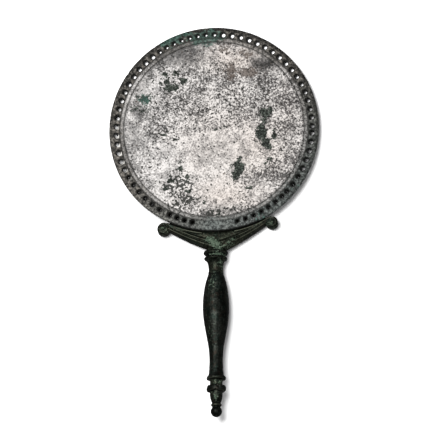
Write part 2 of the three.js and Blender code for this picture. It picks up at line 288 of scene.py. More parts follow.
# The finish is noted at each corner of the mesh. Round the rim, a place is degrees clockwise from the right
# and their spread, with the handle at 90. The lit side of the holes on the left gets a pale painted
# highlight.
finish_names = (
    "crust", "veil", "speckle", "pits", "warm", "brown", "green",
    "rim", "wear", "cool", "bore", "painted_hole_glint", "incised",
)
over_handle = (90, 15)
upper_left = (211, 17)
upper_right = (329, 13)
glinting_left = (170, 21)
clogged_left = (125, 25)
bracket_middle = 91
bracket_half = 26
most_worn = math.radians(105)
coolest = math.radians(55)
glint_side = Vector((0.75, -0.66))
edge_middle = 1.5
rim_starts = 56.5
holes_start = 59.1
dirt_and_shade_starts = 58.5
dirt_and_shade_ends = 64.5
edge_wear_starts = 63.5
line_half_width = 0.5
crust_height = 0.10
nick_depth = 0.7
finish = {name: disc_bm.verts.layers.float.new(name) for name in finish_names}
for v in disc_bm.verts:
    x, y, z = v.co
    r = math.hypot(x, y)
    faces_up = z > edge_middle
    clockwise = -math.atan2(y, x)
    loose_x = x + 1.1 * wander(x, y, 1, 2.6) + 0.6 * wander(x, y, 2, 1.1)
    loose_y = y + 1.1 * wander(x, y, 3, 2.6) + 0.6 * wander(x, y, 4, 1.1)
    wide_x = x + 5 * wander(x, y, 5, 14)
    wide_y = y + 5 * wander(x, y, 6, 14)
    crust = strength_at(loose_x, loose_y, crusts) if faces_up else 0.0
    crust -= strength_at(x, y, bare_spots)
    v[finish["crust"]] = crust
    v[finish["veil"]] = strength_at(wide_x, wide_y, veils)
    v[finish["speckle"]] = 1 - strength_at(wide_x, wide_y, calm)
    v[finish["pits"]] = strength_at(wide_x, wide_y, pitted)
    v[finish["warm"]] = strength_at(wide_x, wide_y, warm)
    v[finish["brown"]] = strength_at(loose_x, loose_y, brown_stains)
    v[finish["green"]] = strength_at(wide_x, wide_y, green_stains)
    round_rim = math.degrees(clockwise) % 360
    at_foot = nearness(round_rim, *over_handle)
    bared = 0.58 - 0.5 * nearness(round_rim, *upper_left)
    band = bared - 0.4 * nearness(round_rim, *upper_right) + 0.2 * at_foot
    on_rim = clamp((r - rim_starts) / 0.5) * band + clamp((r - holes_start) / 0.5) * (1 - band)
    edge_wear = 0.5 + 0.5 * math.cos(clockwise - most_worn)
    v[finish["wear"]] = edge_wear if r > edge_wear_starts else 0.85 + 0.3 * at_foot
    v[finish["cool"]] = max(at_foot, math.cos(clockwise - coolest))
    off_line = min(abs(r - line) for line in incised_radii)
    v[finish["incised"]] = clamp(1 - off_line / line_half_width) * (1 - 0.8 * at_foot) if faces_up else 0.0
    dirt_and_shade = 0.0
    painted_hole_glint = 0.0
    # In and round the holes the metal is darkened with dirt and painted shade, less on the lit side.
    if dirt_and_shade_starts < r < dirt_and_shade_ends:
        centre, bore = min(bores, key=lambda hole: (v.co.xy - hole[0]).length / hole[1])
        from_hole = v.co.xy - centre
        lit_side = clamp((from_hole.normalized().dot(glint_side) - 0.3) / 0.4)
        lit_side *= 0.1 + 0.9 * nearness(round_rim, *glinting_left)
        clogged = 1.38 - 0.16 * nearness(round_rim, *clogged_left)
        dirt_and_shade = clamp((clogged - from_hole.length / bore) / 0.24) * (1 - lit_side)
        # The lit side of each hole wall on the left gets a near-white painted highlight.
        painted_hole_glint = lit_side ** 2 if from_hole.length < 1.05 * bore else 0.0
    # The disc's edge where it lies over the bracket is darkened with painted shade.
    if r > edge_start and abs(round_rim - bracket_middle) < bracket_half:
        dirt_and_shade = min((r - edge_start) / 0.8, 1)
    v[finish["bore"]] = dirt_and_shade
    v[finish["painted_hole_glint"]] = painted_hole_glint
    v[finish["rim"]] = on_rim if faces_up else 1.0
    if faces_up:
        swell = crust_height * clamp(2.2 * crust - 0.6) * (1 + wander(x, y, 7, 0.9))
        grain = 0.03 * wander(x, y, 8, 1.6) + 0.05 * on_rim * wander(x, y, 9, 4.0)
        v.co.z += swell + grain
    if r > edge_start:
        nick = max(0.0, wander(x, y, z, 2.3) - 0.25) * nick_depth + 0.06 * wander(x, y, z, 6)
        v.co.xy *= 1 - max(nick, 0.0) / r
bmesh.ops.transform(disc_bm, matrix=lay_down, verts=disc_bm.verts)
for f in disc_bm.faces:
    f.smooth = True
disc_mesh = bpy.data.meshes.new("worn_disc")
disc_bm.to_mesh(disc_mesh)
disc_bm.free()
disc = bpy.data.objects.new("worn_disc", disc_mesh)
scene.collection.objects.link(disc)


def add_node(tree, kind, **values):
    node = tree.nodes.new(kind)
    for name, value in values.items():
        setattr(node, name, value)
    return node


def feed(tree, socket, source):
    if isinstance(source, bpy.types.NodeSocket):
        tree.links.new(source, socket)
    else:
        socket.default_value = source


def sum_up(tree, operation, first, second):
    node = add_node(tree, "ShaderNodeMath", operation=operation)
    feed(tree, node.inputs[0], first)
    feed(tree, node.inputs[1], second)
    return node.outputs[0]


def scaled(tree, value, times, plus=0.0):
    node = add_node(tree, "ShaderNodeMath", operation="MULTIPLY_ADD")
    feed(tree, node.inputs[0], value)
    feed(tree, node.inputs[1], times)
    feed(tree, node.inputs[2], plus)
    return node.outputs[0]


def ease_between(tree, value, low, high):
    node = add_node(tree, "ShaderNodeMapRange", interpolation_type="SMOOTHSTEP")
    feed(tree, node.inputs["Value"], value)
    feed(tree, node.inputs["From Min"], low)
    feed(tree, node.inputs["From Max"], high)
    return node.outputs["Result"]


def mingle(tree, share, first, second, blend="MIX"):
    node = add_node(tree, "ShaderNodeMix", data_type="RGBA", blend_type=blend)
    feed(tree, node.inputs[0], share)
    feed(tree, node.inputs[6], first)
    feed(tree, node.inputs[7], second)
    return node.outputs[2]


def overlay(tree, cover, share, under, over):
    return mingle(tree, scaled(tree, cover, share), under, over)


def colour_steps(tree, value, steps):
    node = add_node(tree, "ShaderNodeValToRGB")
    stops = node.color_ramp.elements
    stops[0].position, stops[0].color = steps[0][0], (*steps[0][1], 1)
    stops[1].position, stops[1].color = steps[-1][0], (*steps[-1][1], 1)
    for position, colour in steps[1:-1]:
        stops.new(position).color = (*colour, 1)
    feed(tree, node.inputs[0], value)
    return node.outputs["Color"]


def clouds(tree, place, scale, detail, roughness=0.6):
    node = add_node(tree, "ShaderNodeTexNoise")
    feed(tree, node.inputs["Vector"], place)
    node.inputs["Scale"].default_value = scale
    node.inputs["Detail"].default_value = detail
    node.inputs["Roughness"].default_value = roughness
    return node.outputs["Fac"]


def mirror_place(tree):
    coordinates = add_node(tree, "ShaderNodeTexCoord")
    mapping = add_node(tree, "ShaderNodeMapping")
    turned = Matrix.Rotation(tilt, 4, "X")
    mapping.inputs["Scale"].default_value = (mm_per_metre, mm_per_metre, mm_per_metre)
    mapping.inputs["Rotation"].default_value = (tilt, 0, 0)
    mapping.inputs["Location"].default_value = turned @ (Vector(back_centre["pos_m"]) * -mm_per_metre)
    tree.links.new(coordinates.outputs["Object"], mapping.inputs["Vector"])
    return mapping.outputs["Vector"]


def noted(tree, name):
    node = add_node(tree, "ShaderNodeAttribute", attribute_name=name)
    return node.outputs["Fac"]


# Corrosion grows in ragged patches: a soft patch whose edge is eaten into by finer growth.
growth = bpy.data.node_groups.new("ragged growth", "ShaderNodeTree")
growth.interface.new_socket("Place", in_out="INPUT", socket_type="NodeSocketVector")
for name in ("Patch", "Fineness", "Raggedness", "Edge"):
    growth.interface.new_socket(name, in_out="INPUT", socket_type="NodeSocketFloat")
growth.interface.new_socket("Cover", in_out="OUTPUT", socket_type="NodeSocketFloat")
taken = add_node(growth, "NodeGroupInput").outputs
eaten = add_node(growth, "ShaderNodeTexNoise")
eaten.inputs["Detail"].default_value = 4.0
eaten.inputs["Roughness"].default_value = 0.68
growth.links.new(taken["Place"], eaten.inputs["Vector"])
growth.links.new(taken["Fineness"], eaten.inputs["Scale"])
edge_wander = sum_up(growth, "SUBTRACT", eaten.outputs["Fac"], 0.5)
edge_wander = sum_up(growth, "MULTIPLY", edge_wander, taken["Raggedness"])
spread = sum_up(growth, "ADD", taken["Patch"], edge_wander)
cover = ease_between(growth, spread, taken["Edge"], sum_up(growth, "ADD", taken["Edge"], 0.16))
given = add_node(growth, "NodeGroupOutput")
growth.links.new(cover, given.inputs["Cover"])


def ragged(tree, place, patch, fineness, raggedness, edge):
    node = add_node(tree, "ShaderNodeGroup", node_tree=growth)
    feed(tree, node.inputs["Place"], place)
    feed(tree, node.inputs["Patch"], patch)
    node.inputs["Fineness"].default_value = fineness
    node.inputs["Raggedness"].default_value = raggedness
    node.inputs["Edge"].default_value = edge
    return node.outputs["Cover"]


# The face's grains, mottling and drifts make its tone, and stains, flecks, pits and crusts lie over that. The
# pattern is turned askew, so that no layer of it lies flat in the face.
warm_tint = (1.0, 0.945, 0.905, 1)
brown_stain_colour = (0.060, 0.048, 0.040, 1)
fleck_colour = (0.022, 0.020, 0.019, 1)
pit_colour = (0.013, 0.014, 0.012, 1)
single_pit_colour = (0.012, 0.012, 0.011, 1)
warm_rim_tint = (1.05, 0.98, 0.91, 1)
cool_rim_tint = (0.86, 0.97, 0.97, 1)
incised_colour = (0.012, 0.012, 0.011, 1)
hole_dirt_and_shade_colour = (0.004, 0.004, 0.0035, 1)
painted_hole_glint_colour = (0.75, 0.73, 0.69, 1)
silvered = bpy.data.materials.new("silvered bronze")
silvered.use_nodes = True
tree = silvered.node_tree
tree.nodes.clear()
askew = add_node(tree, "ShaderNodeMapping")
askew.inputs["Rotation"].default_value = (0.6, 0.5, 0.4)
tree.links.new(mirror_place(tree), askew.inputs["Vector"])
place = askew.outputs["Vector"]
grains = clouds(tree, place, 0.95, 1.0, 0.5)
mottle = clouds(tree, place, 0.33, 3.0, 0.6)
drifts = clouds(tree, place, 0.1, 2.0, 0.55)
veil = noted(tree, "veil")
speckle = noted(tree, "speckle")
coarse = scaled(tree, speckle, 1.2, 0.5)
tone = sum_up(tree, "MULTIPLY", sum_up(tree, "SUBTRACT", grains, 0.5), coarse)
for layer, share in ((mottle, 0.8), (drifts, 0.8), (veil, -0.44), (speckle, -0.04)):
    tone = sum_up(tree, "ADD", tone, scaled(tree, layer, share))
tone = sum_up(tree, "ADD", tone, 0.065)
face_colour = colour_steps(tree, tone, (
    (0.10, (0.018, 0.018, 0.017)),
    (0.30, (0.046, 0.045, 0.044)),
    (0.46, (0.090, 0.087, 0.085)),
    (0.60, (0.150, 0.145, 0.141)),
    (0.78, (0.238, 0.229, 0.222)),
    (1.00, (0.385, 0.372, 0.361)),
))
face_colour = mingle(tree, noted(tree, "warm"), face_colour, warm_tint, "MULTIPLY")
brown = ragged(tree, place, noted(tree, "brown"), 0.45, 3.4, 0.42)
face_colour = overlay(tree, brown, 0.85, face_colour, brown_stain_colour)
scatter = clouds(tree, place, 0.8, 1.5, 0.6)
scatter = sum_up(tree, "ADD", scatter, scaled(tree, speckle, 0.165))
scatter = sum_up(tree, "ADD", scatter, scaled(tree, drifts, -0.35, 0.175))
flecks = ease_between(tree, scatter, 0.705, 0.73)
face_colour = overlay(tree, flecks, 0.85, face_colour, fleck_colour)
pitting = noted(tree, "pits")
gather = sum_up(tree, "ADD", clouds(tree, place, 0.6, 1.0, 0.5), scaled(tree, pitting, 0.25))
pits = ease_between(tree, gather, 0.695, 0.715)
face_colour = overlay(tree, pits, 0.94, face_colour, pit_colour)
cells = add_node(tree, "ShaderNodeTexVoronoi")
feed(tree, cells.inputs["Vector"], place)
cells.inputs["Scale"].default_value = 0.5
chance = add_node(tree, "ShaderNodeSeparateColor")
tree.links.new(cells.outputs["Color"], chance.inputs["Color"])
dot_size = scaled(tree, chance.outputs["Green"], 0.26, 0.12)
dot = ease_between(tree, sum_up(tree, "SUBTRACT", dot_size, cells.outputs["Distance"]), -0.06, 0.06)
crowding = sum_up(tree, "ADD", scaled(tree, pitting, 0.4), scaled(tree, speckle, 0.12, 0.16))
crowding = sum_up(tree, "SUBTRACT", crowding, chance.outputs["Red"])
single_pits = sum_up(tree, "MULTIPLY", dot, ease_between(tree, crowding, -0.01, 0.01))
face_colour = overlay(tree, single_pits, 0.9, face_colour, single_pit_colour)
crust = ragged(tree, place, noted(tree, "crust"), 0.6, 2.0, 0.36)
crust_colour = colour_steps(tree, clouds(tree, place, 0.9, 2.0, 0.6), (
    (0.38, (0.002, 0.003, 0.002)),
    (0.50, (0.011, 0.014, 0.011)),
    (0.64, (0.060, 0.070, 0.058)),
))
face_colour = mingle(tree, crust, face_colour, crust_colour)

rim = noted(tree, "rim")
rim_grain = clouds(tree, place, 0.7, 4.0, 0.7)
rim_tone = sum_up(tree, "ADD", scaled(tree, noted(tree, "wear"), 0.16), scaled(tree, rim_grain, 1.25, -0.18))
rim_colour = colour_steps(tree, rim_tone, (
    (0.34, (0.004, 0.004, 0.004)),
    (0.47, (0.015, 0.015, 0.014)),
    (0.59, (0.041, 0.041, 0.039)),
    (0.74, (0.130, 0.127, 0.120)),
))
rim_tint = mingle(tree, noted(tree, "cool"), warm_rim_tint, cool_rim_tint)
rim_colour = mingle(tree, 1.0, rim_colour, rim_tint, "MULTIPLY")
surface_colour = mingle(tree, rim, face_colour, rim_colour)
green = ragged(tree, place, noted(tree, "green"), 0.35, 2.0, 0.48)
green_colour = colour_steps(tree, rim_grain, (
    (0.36, (0.007, 0.015, 0.012)),
    (0.50, (0.019, 0.043, 0.034)),
    (0.66, (0.050, 0.105, 0.086)),
))
surface_colour = overlay(tree, green, 0.75, surface_colour, green_colour)
surface_colour = overlay(tree, noted(tree, "incised"), 0.95, surface_colour, incised_colour)
# The holes are darkened with dirt and painted shade, and the edge over the bracket with painted shade.
bore = noted(tree, "bore")
surface_colour = overlay(tree, bore, 0.93, surface_colour, hole_dirt_and_shade_colour)
# A painted highlight on the lit side of the holes on the left.
surface_colour = mingle(tree, noted(tree, "painted_hole_glint"), surface_colour, painted_hole_glint_colour)

shine = add_node(tree, "ShaderNodeBsdfPrincipled")
feed(tree, shine.inputs["Base Color"], surface_colour)
shine.inputs["Specular IOR Level"].default_value = 0.06
dull = sum_up(tree, "MAXIMUM", crust, sum_up(tree, "MAXIMUM", bore, scaled(tree, rim, 0.5)))
feed(tree, shine.inputs["Metallic"], scaled(tree, dull, -0.25, 0.25))
feed(tree, shine.inputs["Roughness"], scaled(tree, grains, -0.25, 0.62))
relief = add_node(tree, "ShaderNodeBump")
relief.inputs["Strength"].default_value = 0.4
relief.inputs["Distance"].default_value = 0.0002
feed(tree, relief.inputs["Height"], sum_up(tree, "SUBTRACT", grains, scaled(tree, pits, 0.8)))
tree.links.new(relief.outputs["Normal"], shine.inputs["Normal"])
surface = add_node(tree, "ShaderNodeOutputMaterial")
tree.links.new(shine.outputs["BSDF"], surface.inputs["Surface"])
disc.data.materials.append(silvered)

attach(disc, "root")
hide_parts("mirror_disc")


# The handle is one bronze casting: a crescent bracket with ridged arms that end in scrolls, a pair of leaves,
# two collars, and a baluster that is turned down to a flare, a ring, a bud and a ball. The disc was soldered
# to the seat behind its lower edge, so the handle's line runs a little behind the disc.
handle_across = 0.45
handle_depth = 2.6
bracket_turn = math.radians(1.93)
bracket_depth = 6.2
arm_end = math.radians(27.4)
arm_root = 79.9
arm_slopes = {-1: 0.526, 1: 0.58}
arm_swell = 0.9
seat_width = 5.0
seat_gap = 0.06
ridged_share = 0.87
ridge_height = 1.2
plain_height = 0.45
arm_below_face = 0.3
arm_drop = 2.6
root_rise = 2.2
root_spread = math.radians(6)
scrolls = {-1: (34.1, 62.0, 4.2), 1: (33.75, 61.55, 3.9)}
leaves_middle = 1.7
leaves_spread = 4.1
leaves_down = 73.4
leaf_level = 1.2
leaf_turn = 0.76
stem_place = (1.4, -75.0, -handle_depth)
stem_half_sizes = (6.4, 7.0, 4.4, 1)
ball_radius = 3.6
ball_along = 181.1
stalk_radius = 2.45
belly_radius = 8.3
belly_along = 114.5


def swelling(at, radius, half, base, steps=10):
    turns = [math.pi * i / steps for i in range(steps + 1)]
    return [(base + (radius - base) * math.sin(t), at + half * math.cos(t)) for t in turns]


def sweep_between(*corners, steps=12):
    knots = [Vector((radius, along, 0)) for radius, along in corners]
    points = geometry.interpolate_bezier(knots[0], knots[1], knots[2], knots[3], steps)
    return [(p.x, p.y) for p in points]


# The baluster's outline runs from the ball up to the collars: radius, and distance from the disc's centre.
ball_turns = [i / 16 * (math.pi - math.asin(stalk_radius / ball_radius)) for i in range(17)]
baluster = [(ball_radius * math.sin(t), ball_along + ball_radius * math.cos(t)) for t in ball_turns]
baluster += swelling(177.0, 3.5, 0.8, 2.65)
baluster += sweep_between((2.75, 175.6), (3.4, 174.0), (4.2, 172.9), (4.0, 168.4))
baluster += [(4.0, 168.4), (5.4, 168.4), (5.85, 168.2), (6.1, 167.8), (6.15, 166.5)]
baluster += [(6.1, 165.2), (5.85, 164.8), (5.4, 164.6), (4.0, 164.6), (3.95, 162.7)]
baluster += [(4.0, 160.75), (5.7, 160.7), (6.05, 160.6), (6.15, 160.3), (6.15, 159.3)]
baluster += sweep_between((5.8, 158.9), (5.2, 158.4), (4.95, 157.8), (4.7, 156.9))
baluster += [(4.55, 155.2), (4.5, 154.2), (4.1, 153.8), (4.5, 153.4), (4.4, 152.1), (4.3, 150.2)]
belly = (belly_radius, belly_along)
baluster += sweep_between((4.25, 148.4), (4.25, 136.05), (belly_radius, 126.85), belly, steps=30)
baluster += sweep_between(belly, (belly_radius, 104.7), (6.65, 97.9), (4.65, 92.4), steps=22)[1:]
baluster += swelling(91.9, 4.9, 0.45, 4.55, 6)
baluster += sweep_between((4.6, 91.4), (4.4, 90.6), (4.4, 85.8), (6.0, 83.9), steps=16)
baluster += swelling(82.8, 7.4, 1.1, 6.0)
baluster += swelling(79.2, 7.75, 1.4, 6.0)
baluster += [(0.0, 77.8)]
handle_bm = bmesh.new()
profile = [handle_bm.verts.new((handle_across + radius, -along, -handle_depth)) for radius, along in baluster]
rails = [handle_bm.edges.new(pair) for pair in zip(profile, profile[1:])]
bmesh.ops.spin(
    handle_bm, geom=profile + rails, cent=(handle_across, 0, -handle_depth), axis=(0, 1, 0),
    angle=2 * math.pi, steps=96, use_merge=True,
)


def smooth_share(low, high, value):
    share = clamp((value - low) / (high - low))
    return share * share * (3 - 2 * share)


def arm_height(share, turn):
    field = 0.42 - 0.2 * min(abs(turn) / arm_end, 1)
    ridged = clamp((share - field) / (ridged_share - field))
    ridge = ridge_height * abs(math.sin(math.pi * 2 * ridged)) ** 0.8
    plain = plain_height * smooth_share(0, 0.08, share) * (1 - smooth_share(field - 0.06, field, share))
    root = root_rise * share * nearness(turn, 0, root_spread)
    return plain + ridge + root - arm_below_face - arm_drop * smooth_share(ridged_share, 1, share)


def arm_reach(turn):
    side = abs(turn)
    swell = arm_swell * math.sin(math.pi * min(side / arm_end, 1))
    slope = arm_slopes[1 if turn > 0 else -1]
    return arm_root / (math.cos(side) + slope * math.sin(side)) + swell


# The bracket's section is spun round the disc's centre as a plain hoop, and each corner is then drawn in to
# the arm's outline.
hoop_radius = 100
hoop_width = 10
ridge_steps = 56
seat_corners = [(-1.0, -1.0), (-1.0, 0.0), (-0.5, 0.0)]
arm_corners = [(i / ridge_steps, 1.0) for i in range(ridge_steps + 1)]
back_corners = [(1.0, -0.55), (0.97, -0.85), (0.9, -1.0), (0.4, -1.0), (-0.5, -1.0)]
section = seat_corners + arm_corners + back_corners
bracket_bm = bmesh.new()
loop = [bracket_bm.verts.new((0, -(hoop_radius + hoop_width * share), level)) for share, level in section]
hoops = [bracket_bm.edges.new(pair) for pair in zip(loop, loop[1:] + loop[:1])]
bmesh.ops.rotate(bracket_bm, verts=loop, cent=(0, 0, 0), matrix=Matrix.Rotation(-arm_end, 3, "Z"))
bmesh.ops.spin(
    bracket_bm, geom=loop + hoops, cent=(0, 0, 0), axis=(0, 0, 1),
    angle=2 * arm_end, steps=120, use_merge=False,
)
for v in bracket_bm.verts:
    turn = math.atan2(v.co.x, -v.co.y)
    share = (math.hypot(v.co.x, v.co.y) - hoop_radius) / hoop_width
    level = v.co.z
    side = abs(turn)
    edge = disc_radius + seat_gap
    horn = smooth_share(0.55 * arm_end, arm_end, side)
    seat = (disc_radius - seat_width) * (1 - horn) + (edge - 0.3) * horn
    if share < 0:
        distance = seat + (edge - seat) * (1 + share)
    else:
        distance = edge + (arm_reach(turn) - edge) * share
    if level > 0.5:
        height = arm_height(share, turn)
    elif level == 0:
        height = -seat_gap
    else:
        height = bracket_depth * level
    v.co = (distance * math.sin(turn), -distance * math.cos(turn), height)
ends = [e for e in bracket_bm.edges if e.is_boundary]
bmesh.ops.holes_fill(bracket_bm, edges=ends)

# Each arm rolls over into a scroll, with a raised band that winds in to an eye, and has a leaf at its root.
roll = [(-9, -5.8), (-0.9, -5.8), (-0.3, -5.5), (0, -4.9), (0, -0.6), (-0.2, -0.1), (-0.7, 0.1), (-9, 0.1)]
band_radius = 67.0
band_half_thickness = 0.72
band_level = 0.25
band_inset = 0.75
band_turns = 1.75
band_steps = 72
run_in_steps = 24
eye_radius = 1.15
eye_level = 0.35
for side, (scroll_across, scroll_down, scroll_radius) in scrolls.items():
    axis = Vector((side * scroll_across, -scroll_down, 0))
    outline = [axis + Vector((max(scroll_radius + off, 0), 0, height)) for off, height in roll]
    profile = [bracket_bm.verts.new(spot) for spot in outline]
    rails = [bracket_bm.edges.new(pair) for pair in zip(profile, profile[1:])]
    bmesh.ops.spin(
        bracket_bm, geom=profile + rails, cent=axis, axis=(0, 0, 1),
        angle=2 * math.pi, steps=64, use_merge=True,
    )
    lean = side * math.atan2(scroll_across, scroll_down)
    band = bpy.data.curves.new("scroll band", "CURVE")
    band.dimensions = "3D"
    band.bevel_depth = band_half_thickness
    band.bevel_resolution = 3
    band.use_fill_caps = True
    run_in = [lean * (0.3 + 0.7 * i / run_in_steps) for i in range(run_in_steps)]
    path = [Vector((band_radius * math.sin(t), -band_radius * math.cos(t), band_level)) for t in run_in]
    for i in range(band_steps):
        wound = i / (band_steps - 1)
        winding = wound * band_turns * 2 * math.pi
        reach = scroll_radius - band_inset - (scroll_radius - 2 * band_inset) * wound ** 0.8
        spot = Vector((side * reach * math.sin(winding), reach * math.cos(winding), band_level))
        spot.rotate(Matrix.Rotation(lean, 3, "Z"))
        path.append(axis + spot)
    line = band.splines.new("POLY")
    line.points.add(len(path) - 1)
    for point, spot in zip(line.points, path):
        point.co = (*spot, 1)
    band_object = bpy.data.objects.new("scroll band", band)
    scene.collection.objects.link(band_object)
    bpy.context.view_layer.update()
    bracket_bm.from_mesh(band_object.evaluated_get(bpy.context.evaluated_depsgraph_get()).to_mesh())
    bpy.data.objects.remove(band_object)
    eye = Matrix.Translation(axis + Vector((0, 0, eye_level)))
    bmesh.ops.create_uvsphere(bracket_bm, u_segments=20, v_segments=12, radius=eye_radius, matrix=eye)
    leaf_half_sizes = (5.3, 1.9 + 0.3 * side, 1.4, 1)
    leaf = Matrix.Translation((leaves_middle + side * leaves_spread, -leaves_down, leaf_level))
    leaf = leaf @ Matrix.Rotation(side * leaf_turn, 4, "Z") @ Matrix.Diagonal(leaf_half_sizes)
    bmesh.ops.create_uvsphere(bracket_bm, u_segments=32, v_segments=20, radius=1, matrix=leaf)
bmesh.ops.rotate(
    bracket_bm, verts=bracket_bm.verts, cent=(0, 0, 0), matrix=Matrix.Rotation(bracket_turn, 3, "Z")
)
stem = Matrix.Translation(stem_place) @ Matrix.Diagonal(stem_half_sizes)
bmesh.ops.create_uvsphere(bracket_bm, u_segments=40, v_segments=24, radius=1, matrix=stem)
bracket_mesh = bpy.data.meshes.new("bracket")
bracket_bm.to_mesh(bracket_mesh)
bracket_bm.free()
handle_bm.from_mesh(bracket_mesh)
bpy.data.meshes.remove(bracket_mesh)
bmesh.ops.remove_doubles(handle_bm, verts=handle_bm.verts, dist=0.0005)
bmesh.ops.recalc_face_normals(handle_bm, faces=handle_bm.faces)
cast_mesh = bpy.data.meshes.new("casting")
handle_bm.to_mesh(cast_mesh)
handle_bm.free()

# The pieces of the pattern are run together into one skin, as they were in the mould.
casting = bpy.data.objects.new("casting", cast_mesh)
scene.collection.objects.link(casting)
skin = casting.modifiers.new("one skin", "REMESH")
skin.mode = "VOXEL"
skin.voxel_size = 0.315
bpy.context.view_layer.update()
handle_mesh = bpy.data.meshes.new_from_object(casting.evaluated_get(bpy.context.evaluated_depsgraph_get()))
bpy.data.objects.remove(casting)
handle_mesh.name = "cast_handle"
skin_bm = bmesh.new()
skin_bm.from_mesh(handle_mesh)
for _ in range(3):
    bmesh.ops.smooth_vert(
        skin_bm, verts=skin_bm.verts, factor=0.5, use_axis_x=True, use_axis_y=True, use_axis_z=True
    )
skin_bm.normal_update()

# Pale green corrosion sits on the leaves and scrolls, between the collars and in a few places down the grip.
# The places are given as on the face.
verdigris_places = (
    (-2.6, -71.0, 3.2, 2.3, 0.9), (-0.6, -73.0, 3.0, 2.3, 1.0), (1.4, -75.0, 2.8, 2.2, 1.0),
    (3.0, -76.8, 2.6, 1.8, 0.85), (7.0, -75.6, 2.0, 1.6, 0.6), (9.6, -73.4, 2.2, 1.6, 0.65),
    (12.0, -71.2, 2.0, 1.4, 0.55), (3.0, -81.1, 6.5, 0.9, 0.9), (4.0, -86.5, 2.6, 3.5, 0.5),
    (-1.0, -98.0, 3.0, 7.0, 0.45), (-3.0, -132.0, 3.0, 8.0, 0.25), (2.5, -163.0, 3.0, 1.4, 0.5),
    (0.0, -171.5, 2.5, 2.6, 0.5), (-31.5, -63.5, 3.0, 3.0, 0.45), (34.5, -61.5, 3.0, 3.0, 0.45),
)
# The bracket, the neck and the narrow places near the end have gone a paler olive than the grip. The last
# place, high on the grip, is a painted highlight.
olive_and_highlight_places = (
    (0.0, -70.0, 46, 9.5, 1.0), (0.5, -87.5, 9, 6.5, 0.75), (0.5, -162.6, 9, 2.4, 0.75),
    (-1.5, -172.0, 6, 4.5, 0.7), (-1.0, -104.0, 4, 9, 0.45),
)
# The ball, the collars, the arms and the sides of the grip keep a blacker skin, and part of it is painted
# shade:
# on the sides and middle of the grip, under the leaves and at the ball's end.
black_and_shade_places = (
    (0.5, -183.0, 5, 3.4, 0.95), (0.5, -173.0, 6, 3.0, 0.8), (0.5, -167.0, 6, 3.0, 0.5),
    (7.0, -124.0, 4, 26, 0.8), (5.0, -158.0, 3, 8, 0.5), (-7.5, -130.0, 2.5, 22, 0.5),
    (0.0, -121.0, 5, 6, 0.5), (0.0, -135.0, 6, 10, 0.55), (1.0, -82.5, 9, 6, 0.95),
    (-7.0, -76.0, 4, 3, 0.7), (2.0, -76.0, 4, 4, 0.35), (9.5, -77.0, 4, 4, 0.65),
    (-22.0, -69.0, 16, 5, 0.7), (24.0, -68.0, 16, 5.5, 0.7), (-34.1, -62.0, 5, 5, 0.75),
    (33.8, -61.6, 5, 5, 0.5),
)

# How far each spot lies below its neighbours tells the hollows, which are darkened with patina and painted
# shade, from the worn edges. The surface is then made uneven and pocked, and the ring over the bud is
# chipped.
hollow_unit = 0.3
floor_gap = 0.00002
underside = -3.5
chipped_from = 164.5
chipped_to = 168.7
chip_depth = 2.0
pock_depth = 0.5
hollow = skin_bm.verts.layers.float.new("hollow")
olive_and_highlight = skin_bm.verts.layers.float.new("olive_and_highlight")
verdigris = skin_bm.verts.layers.float.new("verdigris")
black_and_shade = skin_bm.verts.layers.float.new("black_and_shade")
for v in skin_bm.verts:
    around = [e.other_vert(v).co for e in v.link_edges]
    middle = sum(around, Vector()) / len(around)
    v[hollow] = (middle - v.co).dot(v.normal) / hollow_unit
for _ in range(4):
    evened = [sum(e.other_vert(v)[hollow] for e in v.link_edges) / len(v.link_edges) for v in skin_bm.verts]
    for v, value in zip(skin_bm.verts, evened):
        v[hollow] = 0.5 * v[hollow] + 0.5 * value
for v in skin_bm.verts:
    x, y, z = v.co
    v[verdigris] = strength_at(x, y, verdigris_places) if z > underside else 0.0
    v[olive_and_highlight] = strength_at(x, y, olive_and_highlight_places)
    v[black_and_shade] = strength_at(x, y, black_and_shade_places)
    uneven = 0.07 * wander(x, y, z, 5) + 0.03 * wander(x, y, z + 40, 1.6)
    pock = max(0.0, wander(x, y, z + 80, 1.3) - 0.42) * -pock_depth
    chip = 0.0
    if chipped_from < -y < chipped_to:
        chip = max(0.0, wander(x, y, z + 120, 2.2) - 0.15) * -chip_depth
    v.co += v.normal * (uneven + pock + chip)
bmesh.ops.transform(skin_bm, matrix=lay_down, verts=skin_bm.verts)
for v in skin_bm.verts:
    v.co.z = max(v.co.z, floor_gap)
for f in skin_bm.faces:
    f.smooth = True
skin_bm.to_mesh(handle_mesh)
skin_bm.free()
handle = bpy.data.objects.new("cast_handle", handle_mesh)
scene.collection.objects.link(handle)

# The patina is a dark tarnish under an olive film, with teal and brown stains, hollows darkened with patina
# and painted shade, worn edges and pale corrosion over it.
teal_stain_colour = (0.0050, 0.0125, 0.0100, 1)
brown_tarnish_colour = (0.0150, 0.0112, 0.0088, 1)
hollow_patina_and_shade_colour = (0.0022, 0.0024, 0.0018, 1)
worn_colour = (0.078, 0.081, 0.060, 1)
black_and_shade_colour = (0.0012, 0.0015, 0.0012, 1)
patina = bpy.data.materials.new("patinated bronze")
patina.use_nodes = True
tree = patina.node_tree
tree.nodes.clear()
place = mirror_place(tree)
drift = clouds(tree, place, 0.16, 4.0, 0.6)
fine = clouds(tree, place, 1.0, 3.0, 0.7)
drawn_out = add_node(tree, "ShaderNodeVectorMath", operation="MULTIPLY")
drawn_out.inputs[1].default_value = (1.0, 0.12, 1.0)
tree.links.new(place, drawn_out.inputs[0])
streaks = clouds(tree, drawn_out.outputs["Vector"], 0.8, 3.0, 0.6)
tarnish = sum_up(tree, "ADD", scaled(tree, drift, 0.4), scaled(tree, fine, 0.35))
tarnish = sum_up(tree, "ADD", tarnish, scaled(tree, streaks, 0.25))
